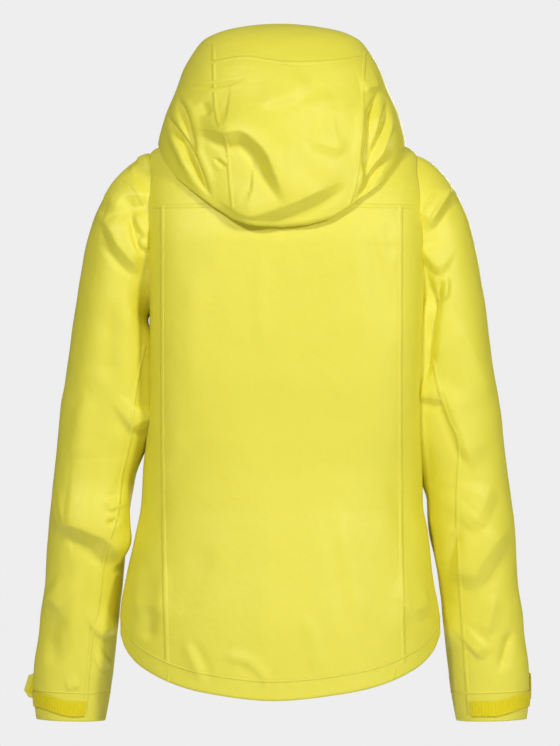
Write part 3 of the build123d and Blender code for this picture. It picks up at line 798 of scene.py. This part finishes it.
def fabric(name, light, dark, weave_scale=1500.0, crumple=0.25, rough=0.58, sheen=0.15, spec=1.0):
    """Woven cloth: a fine plain weave in bump, soft crumpling, and slight unevenness in colour and gloss."""

    def build(add, at):
        mottle = add("TexNoise", {"Vector": at, "Scale": 9.0, "Detail": 6.0, "Roughness": 0.6})
        colour = add("MixRGB", {"Fac": mottle, "Color1": (*dark, 1), "Color2": (*light, 1)})
        thread = {"Vector": at, "Scale": weave_scale / 6.0, "Distortion": 0.6, "Detail": 1.0}
        warp, weft = (add("TexWave", thread, "Fac", bands_direction=axis) for axis in ("X", "Z"))
        weave = add("Math", {0: warp, 1: weft}, operation="MULTIPLY")
        gaps = add("Math", {0: weave, 1: -0.5, 2: 0.4}, operation="MULTIPLY_ADD")
        gap_tone = {"Fac": gaps, "Color1": colour, "Color2": (0.93, 0.92, 0.88, 1)}
        grain = add("TexNoise", {"Vector": at, "Scale": 55.0, "Detail": 5.0})
        crumpled = add("Bump", {"Strength": crumple, "Distance": 0.003, "Height": grain})
        woven = add("Bump", {"Strength": 0.05, "Distance": 0.0004, "Height": weave, "Normal": crumpled})
        gloss = add("MapRange", {"Value": grain, "To Min": rough - 0.06, "To Max": rough + 0.08})
        tone = add("MixRGB", gap_tone, blend_type="MULTIPLY")
        return {"Base Color": tone, "Normal": woven, "Roughness": gloss}

    return new_material(name, build, Sheen_Weight=sheen, Sheen_Roughness=0.45, Specular_IOR_Level=spec)


def moulded(name, colour, rough):
    """Moulded or coated hard trim with a faint orange-peel surface and handling marks in its gloss."""

    def build(add, at):
        peel = add("TexNoise", {"Vector": at, "Scale": 900.0, "Detail": 3.0})
        wear = add("TexNoise", {"Vector": at, "Scale": 160.0, "Detail": 6.0})
        worn = (*[c * 0.82 for c in colour], 1)
        return {
            "Base Color": add("MixRGB", {"Fac": wear, "Color1": worn, "Color2": (*colour, 1)}),
            "Roughness": add("MapRange", {"Value": wear, "To Min": rough - 0.1, "To Max": rough + 0.14}),
            "Normal": add("Bump", {"Strength": 0.12, "Distance": 0.0002, "Height": peel}),
        }

    return new_material(name, build, Specular_IOR_Level=0.5)


shell_mat = fabric("shell_yellow", (0.790, 0.724, 0.040), (0.765, 0.696, 0.032), rough=0.60, sheen=0.0)
lining_mat = fabric("lining_pale", (0.62, 0.60, 0.22), (0.55, 0.53, 0.18), weave_scale=900, crumple=0.1,
                    rough=0.7)
thread_mat = fabric("thread_yellow", (0.66, 0.60, 0.012), (0.60, 0.53, 0.010), weave_scale=5000, rough=0.5)
loop_mat = fabric("loop_strip_yellow", (0.80, 0.68, 0.003), (0.70, 0.58, 0.002), weave_scale=3000, crumple=0.4,
                  rough=0.8, spec=0.4)
tape_mat = fabric("zip_tape_yellow", (0.62, 0.54, 0.006), (0.56, 0.48, 0.005), weave_scale=2600, crumple=0.05)
teeth_mat = moulded("teeth_yellow", (0.60, 0.52, 0.010), rough=0.38)
slider_mat = moulded("slider_yellow", (0.56, 0.48, 0.012), rough=0.34)
grip_mat = moulded("grip_yellow", (0.60, 0.52, 0.008), rough=0.5)

# ---- shell
body = make_body_grid()
body_obj = grid_mesh("body_shell", body, shell_mat,
                     keep=[arm_field(LEFT), arm_field(RIGHT), neck_field, slot_field, pocket_field])
place(thicken(body_obj, CLOTH, lining_mat), "shell", "back_panel", "shoulder_yoke", "hem_band",
      *pairs("side_panel", "front_panel"))
sleeve = {}
for side, s in SIDES.items():
    sleeve[side] = make_sleeve_grid(side)
    place(thicken(grid_mesh(f"sleeve_{s}", sleeve[side], shell_mat), CLOTH, lining_mat), "shell",
          f"sleeve_head_{s}", f"sleeve_outer_{s}", f"sleeve_under_{s}", f"cuff_band_{s}")
hood = make_hood_grid()
hood_obj = grid_mesh("hood_shell", hood, shell_mat, keep=[face_field])
weld(hood_obj)
place(thicken(hood_obj, CLOTH, lining_mat), "shell", "hood_center_panel", "hood_brim",
      *pairs("hood_side_panel", "hood_face_hem"))


# ---- seams
def row_path(grid, row, start=0, slot=0.0):
    """Once round the grid on one row, without the front's stretch closer than slot to x = 0."""
    nu = grid.p.shape[1]
    turn = (np.arange(nu + 1) + start) % nu
    points, normals = grid.p[row, turn], grid.normals()[row, turn]
    keep = (np.abs(points[:, 0]) > slot) | (points[:, 1] > 0) | (slot == 0)
    return points[keep], normals[keep]


def contour(grid, field, level, angle, step=4.0, first_row=0, spurious=40):
    """The line on the grid where field equals level, in order of angle(points), evenly spaced."""
    p, n = grid.p[first_row:], grid.normals()[first_row:]
    value = field(p.reshape(-1, 3)).reshape(p.shape[:2]) - level
    found_p, found_n = [], []
    for a, b, pa, pb, na in (
        (value[:-1], value[1:], p[:-1], p[1:], n[:-1]),
        (value, np.roll(value, -1, 1), p, np.roll(p, -1, 1), n),
    ):
        hit = ((a > 0) != (b > 0)) & (np.abs(a) < spurious) & (np.abs(b) < spurious)
        t = (a[hit] / (a[hit] - b[hit]))[:, None]
        found_p.append(pa[hit] + (pb[hit] - pa[hit]) * t)
        found_n.append(na[hit])
    points, normals = np.vstack(found_p), np.vstack(found_n)
    order = np.argsort(angle(points))
    points, normals = points[order], normals[order]
    for _ in range(6):
        soften(points)
        soften(normals)
    run = run_of(points)
    at = np.linspace(0, run[-1], max(4, int(run[-1] / step)))
    return spread(at, run, points), unit(spread(at, run, normals))


def armhole_angle(p):
    return np.arctan2(p[:, 2] - ARM_Z, p[:, 1])


def face_angle(p):
    turn = np.arctan2(p[:, 2] - 40, p[:, 0])
    return np.where(turn < -math.pi / 2, turn + 2 * math.pi, turn)


# looks of the seams: a line of stitches alone, a narrow fold, and bands of two widths with twin stitches
STITCHED = {"width": 0, "rows": (0.0,)}
FOLDED = {"width": 2.6, "height": 0.35, "rows": (0.0,)}
TAPED = {"width": 6.0, "rows": (-1.6, 1.6)}
TAPED_HOOD = {"width": 6.0, "rows": (-1.7, 1.7)}
PRINCESS = {"width": 7.5, "rows": (-2.9, 2.9)}
FRONT_TURN, HEM_EDGE_ROW, HEM_ROW = BODY_U * 3 // 4, 1, 8
CUFF_EDGE_ROW, CUFF_ROW = 2, 19
ROLLED_ROWS = len(HOOD_ROLL)
SLEEVE_BACK_SEAM = {
    LEFT: (171,-244, 185,-312, 190,-362, 201,-411, 206,-455, 222,-509, 230,-570, 238,-606, 245,-688, 246,-706),
    RIGHT: (-188,-261, -198,-305, -210,-340, -221,-369, -219,-442, -220,-509, -225,-582, -232,-682, -234,-706),
}
CAP_SEAM = {LEFT: (199,-36, 191,-41, 181,-52, 172,-68), RIGHT: (-193,-48, -187,-58, -180,-71, -174,-86)}

# body: yoke, princess seams, shoulder, front edge and side seams, hem
seam(body, BACK, (163,-71, 120,-70, 60,-69, 0,-69, -60,-69, -120,-70, -163,-71))
seam(body, BACK, (150,-70, 150,-312, 148,-480, 144,-640), **PRINCESS)
seam(body, BACK, (-148,-70, -148,-312, -149,-480, -152,-640), **PRINCESS)
for side in SIDES:
    seam(body, FRONT, (130,-40, 60,-42, 30,-64), side)
    seam(body, FRONT, (15,-74, 15,-330, 15,-600), side, **STITCHED)
    seam(body, FRONT, (150,-196, 152,-330, 158,-470, 164,-598), side)
run_seam(*row_path(body, HEM_ROW, FRONT_TURN, slot=8), width=3.0, height=0.35, rows=(0.0, -1.6))
run_seam(*row_path(body, HEM_EDGE_ROW, FRONT_TURN, slot=8), **STITCHED)
for x, z in ((142, -662), (-141, -656)):
    seam(body, BACK, (x, z + 9, x + 1, z - 3), width=3.0, rows=(0.0,))

# armholes, pocket welts and sleeves
for side in SIDES:
    run_seam(*contour(body, arm_field(side), 2.6, armhole_angle), **STITCHED)
    (top_x, top_z), (bottom_x, bottom_z) = POCKET_TOP, POCKET_BOTTOM
    for shift in (-10.0, 10.0):
        welt = (top_x + shift, top_z + 4, bottom_x + shift, bottom_z - 4)
        seam(body, FRONT, welt, side, width=4.0, rows=(0.0,))
    seam(sleeve[side], BACK, SLEEVE_BACK_SEAM[side], **TAPED)
    seam(sleeve[side], BACK, CAP_SEAM[side], **TAPED)
    seam(sleeve[side], FRONT, (206,-29, 196,-60, 180,-90), side)
    seam(sleeve[side], FRONT, (176,-250, 200,-420, 226,-600, 240,-700), side)
    run_seam(*row_path(sleeve[side], CUFF_ROW), **FOLDED)
    run_seam(*row_path(sleeve[side], CUFF_EDGE_ROW), **STITCHED)

# hood: the two crown seams, the brim seam across, the face edge and the lower edge
seam(hood, BACK, (86,142, 85,92, 82,44, 69,6, 66,-28, 62,-72), **TAPED_HOOD)
seam(hood, BACK, (-104,122, -101,80, -101,44, -98,6, -92,-40, -84,-69), **TAPED_HOOD)
seam(hood, BACK, (88,110, 45,116, 0,110, -50,110, -103,116), **TAPED_HOOD)
face_edge = contour(hood, face_field, 2.2, face_angle, first_row=ROLLED_ROWS)
run_seam(*face_edge, width=4.4, height=0.9, rows=(0.0,))
run_seam(*contour(hood, face_field, 15.0, face_angle, first_row=ROLLED_ROWS), **FOLDED)
run_seam(*row_path(hood, ROLLED_ROWS + 5), **STITCHED)

place(seams.build("seam_bands", shell_mat), "shell")
place(threads.build("stitching", thread_mat), "shell")


# ---- straps and patches
def closed_form(name, rings, material, inside_out):
    """A mesh through closed rings of points, with a face over each end."""
    n, m = rings.shape[:2]
    faces = [tuple(f) for f in grid_faces(n, m, True)]
    faces += [tuple(range(m))[::-1], tuple(range((n - 1) * m, n * m))]
    if inside_out:
        faces = [face[::-1] for face in faces]
    return mesh_from(name, rings.reshape(-1, 3), faces, material)


def strap(name, points, normals, widths, thick, material):
    """Webbing swept along points, its flat faces square to normals, with rounded edges and closed ends."""
    across = across_of(points, normals)
    turn = np.linspace(0, 2 * math.pi, 24, endpoint=False)
    wide = signed_power(np.cos(turn), 0.3) * np.broadcast_to(widths, len(points))[:, None] / 2
    high = signed_power(np.sin(turn), 0.55) * np.broadcast_to(thick, len(points))[:, None] / 2
    rings = points[:, None] + across[:, None] * wide[..., None] + normals[:, None] * high[..., None]
    return closed_form(name, rings, material, False)


def patch(name, origin, half_w, half_h, thick, material, crown, corner):
    """An upright pad with rounded corners, whose crowned face looks to the front."""
    across, up, out = np.array([(1.0, 0, 0), (0, 0, 1), (0, -1, 0)])
    turn = np.linspace(0, 2 * math.pi, 96, endpoint=False)
    wide = signed_power(np.cos(turn), 2 / corner)[:, None] * half_w * across
    high = signed_power(np.sin(turn), 2 / corner)[:, None] * half_h * up
    section = [(0.05, 1 + crown), (0.35, 1 + crown * 0.9), (0.7, 1 + crown * 0.5), (0.9, 1.0), (0.97, 0.85),
               (1.0, 0.5), (0.97, 0.0), (0.6, 0.0), (0.05, 0.0)]
    rings = np.array([origin + (wide + high) * r + out * (h * thick) for r, h in section])
    return closed_form(name, rings, material, True)


# ---- collar
COLLAR_HALF_X, COLLAR_HALF_Y, COLLAR_Y, COLLAR_TOP = 69.5, 82.5, -25.5, 45.0
COLLAR_U, COLLAR_V, COLLAR_TOP_ROW, COLLAR_BASE_ROW = 220, 44, 39, 3


def collar_grid(inset, top, gap_left, gap_right, bulge):
    """A standing collar wall, open in front between gap_right (at -X) and gap_left (at +X)."""
    a, b = COLLAR_HALF_X - inset, COLLAR_HALF_Y - inset
    turn = np.linspace(-math.acos(gap_left / a), math.pi + math.acos(gap_right / a), COLLAR_U)[None, :]
    v = np.linspace(0, 1, COLLAR_V)[:, None]
    base = -76.0 + (COLLAR_Y + b * np.sin(turn) + 108) * 80.0 / 165  # it rises from front to back
    z = base + (top - base) * v
    grow = (bulge + 0.5 * np.sin(3 * turn + 5 * v)) * np.sin(math.pi * v) - 1.1 * smoothstep(v, 0.95, 1.0)
    return Grid(np.stack([(a + grow) * np.cos(turn), COLLAR_Y + (b + grow) * np.sin(turn), z], -1))


collar = collar_grid(0.0, COLLAR_TOP, 7.0, 7.0, 1.6)
lining = collar_grid(1.5, COLLAR_TOP - 1.2, 34.0, 26.0, 1.4)
place(thicken(grid_mesh("collar", collar, shell_mat), 1.3), "shell", "collar_shell")
place(thicken(grid_mesh("collar_facing", lining, lining_mat), 0.7), "lining", "collar_lining")
COLLAR_BASE = {"width": 5.0, "height": 0.4, "rows": (-1.4, 1.4)}
for row, style in ((COLLAR_TOP_ROW, STITCHED), (COLLAR_BASE_ROW, COLLAR_BASE)):
    run_seam(collar.p[row], collar.normals()[row], into=(trim_seams, trim_threads), **style)

# hanger loop: a strap whose ends are sewn to the collar
LOOP_BAR, LOOP_NORMAL = 1.8, [0.0, -1.0, 0.0]
loop_bends = [(-24, 47.0), (-14, 43.9), (0, 42.8), (14, 43.9), (24, 47.0)]
loop_path = curve([(x, y, 11.5) for x, y in loop_bends], 1.5)
loop_out = unit(np.stack([loop_path[:, 0] / 68, -np.ones(len(loop_path)), 0 * loop_path[:, 0]], 1))
loop_width = 6.6 + 0.3 * np.cos(loop_path[:, 0] / 3)
place(strap("hanger_strap", loop_path, loop_out, loop_width, LOOP_BAR, tape_mat), "lining", "hanger_loop")
for end, inward in ((0, 3.5), (-1, -3.5)):
    for lift in (-2.2, 2.2):
        stitch = loop_path[end] + [0, -1.0, lift] + np.array([inward, -0.9, 0]) * np.linspace(0, 1, 4)[:, None]
        trim_threads.append(stitch_row(stitch, np.tile(LOOP_NORMAL, (4, 1)), 0, 0.1, length=1.4, gap=0.5))

place(patch("neck_label", (0, 51.2, 30), 19, 10, 0.55, lining_mat, crown=0.1, corner=9.0),
      "lining", "neck_patch")
place(patch("chin_pad", (0, -99.9, 33), 17, 15, 1.0, lining_mat, crown=0.6, corner=4.0),
      "shell", "chin_guard")

# wind flap: a long strip behind the zip, a little wavy, whose edges turn in
flap_x, flap_z = np.linspace(-17, 29, 16)[None, :], np.linspace(-569, 39, 260)[:, None]
off_middle = flap_x - 6
flap_y = -98.2 + 0.5 * np.sin(flap_z / 31) * np.cos(off_middle / 16) + 0.4 * np.sin(flap_z / 83 + 1)
flap_y = flap_y + 0.2 * (1 - np.cos(off_middle / 23 * math.pi))
flap = Grid(np.stack(np.broadcast_arrays(flap_x, flap_y, flap_z), -1))
place(thicken(grid_mesh("zip_underflap", flap, shell_mat), 1.2, offset=0.0), "lining", "wind_flap")

# ---- cuffs
LOOP_LOW, LOOP_HIGH, LOOP_U, LOOP_V = -708.0, -689.0, 340, 18
LOOP_INNER_END, LOOP_OUTER_END, LOOP_FRONT_Y = {LEFT: 245, RIGHT: 236}, 289, -36
CUFF_ROWS = 40
TAB_PATHS = {
    LEFT: [(258.5, -81.0, -688), (282, -81.6, -683), (304, -81.4, -677), (324, -80.9, -671)],
    RIGHT: [(-258.5, -81.0, -688), (-280, -82.0, -684), (-298, -80.4, -680), (-309, -75.0, -676),
            (-313.5, -66.0, -674), (-314, -56.0, -672)],
}  # the left tab stands off the cuff, the right one follows it round


def loop_strip(side):
    """Ribbed loop tape round the back and the outside of the cuff, rising to the outside."""
    grid = sleeve[side]
    nu = grid.p.shape[1]
    ring = grid.p[int(np.argmin(np.abs(grid.p[:, 0, 2] - (LOOP_LOW + LOOP_HIGH) / 2)))]
    out, behind = ring[:, 0] * side, ring[:, 1] > LOOP_FRONT_Y
    on = ((out > LOOP_INNER_END[side]) & behind) | ((out > LOOP_OUTER_END) & ~behind)
    start = next(k for k in range(nu) if on[k] and not on[k - 1])
    normals = grid.normals()
    rows = []
    for z in np.linspace(LOOP_LOW, LOOP_HIGH, LOOP_V):
        for k, a in enumerate(np.linspace(0, int(on.sum()) - 1, LOOP_U)):
            u = start + a
            column = int(u) % nu
            lift = 11.0 * float(smoothstep(out[column], 262, 312))
            v = float(np.interp(z + lift, grid.p[:CUFF_ROWS, column, 2], np.arange(CUFF_ROWS)))
            rib = 0.28 * (k % 2 == 0) + 0.18 * math.sin(a * 2.4)
            edge = min(1.0, (k + 1) / 4, (LOOP_U - k) / 4)
            rows.append(grid.at(v, u) + normals[int(v), column] * (0.35 + (0.9 + rib) * edge))
    return Grid(np.reshape(rows, (LOOP_V, LOOP_U, 3)))


for side, s in SIDES.items():
    strip_obj = thicken(grid_mesh(f"loop_tape_{s}", loop_strip(side), loop_mat), CLOTH)
    place(strip_obj, "loop_strip", f"cuff_loop_strip_{s}")
    tab = f"cuff_tab_{s}"
    path = curve(TAB_PATHS[side], 2.0)
    run = run_of(path)
    heading = unit(np.gradient(path, axis=0))
    outward = unit(np.stack([heading[:, 1] * side, -heading[:, 0] * side, 0 * heading[:, 0]], 1))
    widths = 33.0 - 12.0 * smoothstep(run, run[-1] - 9, run[-1])
    thick = 0.7 + 0.8 * smoothstep(run, 1, 16)
    place(strap(f"strap_tab_{s}", path, outward, widths, thick, shell_mat), "shell", tab, on=tab)
    hooks = (run > run[-1] - 30) & (run < run[-1] - 5)
    hook_path = path[hooks] - outward[hooks] * 1.15
    place(strap(f"hook_pad_{s}", hook_path, outward[hooks], 22.0, 0.8, loop_mat), "hook_patch",
          f"cuff_hook_patch_{s}", on=tab)
    tab_threads = Pile(stitch_row(path[:-4], outward[:-4], edge, 0.8) for edge in (-13.5, 13.5))
    place(tab_threads.build(f"tab_stitching_{s}", thread_mat), "shell", on=tab)

# ---- pocket bags
BAG_INSET, BAG_INNER, BAG_OUTER, BAG_LOW, BAG_HIGH = 9.5, 38, 140, -554, -362


def pocket_bag(side):
    """A flat pouch behind the front panel: two layers that meet at their edges."""
    across = body.p[BODY_V // 3, :, 0] * side
    cols = np.where((body.p[BODY_V // 3, :, 1] < 0) & (across > BAG_INNER) & (across < BAG_OUTER))[0]
    height = body.p[:, cols[len(cols) // 2], 2]
    rows = np.where((height > BAG_LOW) & (height < BAG_HIGH))[0]
    out = body.normals()[np.ix_(rows, cols)]
    p = body.p[np.ix_(rows, cols)] - out * BAG_INSET
    a, b = np.linspace(-1, 1, len(cols))[None, :], np.linspace(-1, 1, len(rows))[:, None]
    puff = 0.25 + 1.1 * np.sqrt(np.clip(1 - a**4, 0, 1) * np.clip(1 - b**4, 0, 1))
    puff = (puff * (1 + 0.15 * np.sin(9 * a + 3 * b)))[..., None]
    both = np.vstack([(p + out * puff).reshape(-1, 3), (p - out * puff).reshape(-1, 3)])
    faces = grid_faces(*p.shape[:2], False)
    faces = np.vstack([faces, faces[:, ::-1] + len(both) // 2])
    return mesh_from(f"pocket_pouch_{SIDES[side]}", both, faces, lining_mat)


for side, s in SIDES.items():
    place(pocket_bag(side), "lining", f"pocket_bag_{s}")
place(trim_seams.build("collar_seams", shell_mat), "shell")
place(trim_threads.build("collar_stitching", thread_mat), "shell")

# ---- carried-over CAD nodes
NODE_MATERIALS = {
    tape_mat: pairs("zip_tape", "pocket_tape_outer", "pocket_tape_inner"),
    teeth_mat: ["zip_top_stops", "zip_retainer_box", "zip_insertion_pin", *pairs("zip_teeth", "pocket_teeth")],
    slider_mat: ["zip_slider", "zip_pull", *pairs("pocket_slider", "pocket_pull")],
    grip_mat: ["zip_pull_grip"],
}
for material, names in NODE_MATERIALS.items():
    for name in names:
        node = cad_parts[name]
        node.data.materials.clear()
        node.data.materials.append(material)

# ---- camera, light and floor
VIEW_WIDTH, VIEW_CENTRE_X, SENSOR, IMAGE_RATIO = 0.700, 0.0025, 36.0, 746 / 560
FLOOR_Z = -1120


def stand(name, data, spot, rotation):
    obj = bpy.data.objects.new(name, data)
    obj.location, obj.rotation_euler = spot, rotation
    scene.collection.objects.link(obj)
    return obj


def area_light(name, spot, aim, size, power):
    data = bpy.data.lights.new(name, "AREA")
    data.shape, data.size, data.energy = "DISK", size, power
    stand(name, data, spot, (Vector(aim) - Vector(spot)).to_track_quat("-Z", "Y").to_euler())


def studio_world(backdrop=0.855, horizon=0.10, above=0.30, below=0.04):
    """A pale backdrop, and soft light that is stronger from overhead and weaker from underneath."""
    made = bpy.data.worlds.new("studio")
    made.use_nodes = True
    tree = made.node_tree
    coord = add_node(tree, "TexCoord")
    split = add_node(tree, "SeparateXYZ", {"Vector": coord.outputs["Generated"]})
    half = add_node(tree, "MapRange", {"Value": split.outputs["Z"], "From Min": -1.0})
    ramp = add_node(tree, "ValToRGB", {"Fac": half.outputs["Result"]})
    stops = [(0.0, below), (0.36, below + 0.15), (0.44, horizon), (0.58, horizon), (0.80, above), (1.0, above)]
    for spot, _ in stops[1:-1]:
        ramp.color_ramp.elements.new(spot)
    for element, (_, value) in zip(ramp.color_ramp.elements, stops):
        element.color = (value, value, value, 1)
    background = tree.nodes["Background"]
    fill_inputs(tree, background, {"Color": ramp.outputs["Color"]})
    behind = add_node(tree, "Background", {"Color": (backdrop, backdrop, backdrop, 1)})
    path = add_node(tree, "LightPath")
    shaders = {1: background.outputs["Background"], 2: behind.outputs["Background"]}
    mix = add_node(tree, "MixShader", {"Fac": path.outputs["Is Camera Ray"], **shaders})
    fill_inputs(tree, tree.nodes["World Output"], {"Surface": mix.outputs["Shader"]})
    return made


camera_data = bpy.data.cameras.new("camera")
camera_data.sensor_width = SENSOR
camera_data.lens = SENSOR * EYE_Y * MM / (VIEW_WIDTH * IMAGE_RATIO)
scene.camera = stand("camera", camera_data, (VIEW_CENTRE_X, EYE_Y * MM, EYE_Z * MM), (math.pi / 2, 0, math.pi))
area_light("key", (1.5, 3.5, 2.0), (0, 0, -0.35), 0.42, 90)
area_light("fill", (-1.9, 2.5, 0.9), (0, 0, -0.4), 0.5, 50)
area_light("front_key", (-0.7, -3.3, 0.3), (0, 0, -0.4), 0.7, 58)
scene.world = studio_world()
scene.view_settings.view_transform = "Standard"
corners = [(x, y, FLOOR_Z) for x, y in ((-2600, -1500), (2600, -1500), (2600, 2600), (-2600, 2600))]
floor_mat = new_material("floor_pale", lambda add, at: {}, Base_Color=(0.8, 0.8, 0.8, 1), Roughness=0.9)
mesh_from("floor", corners, [(0, 1, 2, 3)], floor_mat)
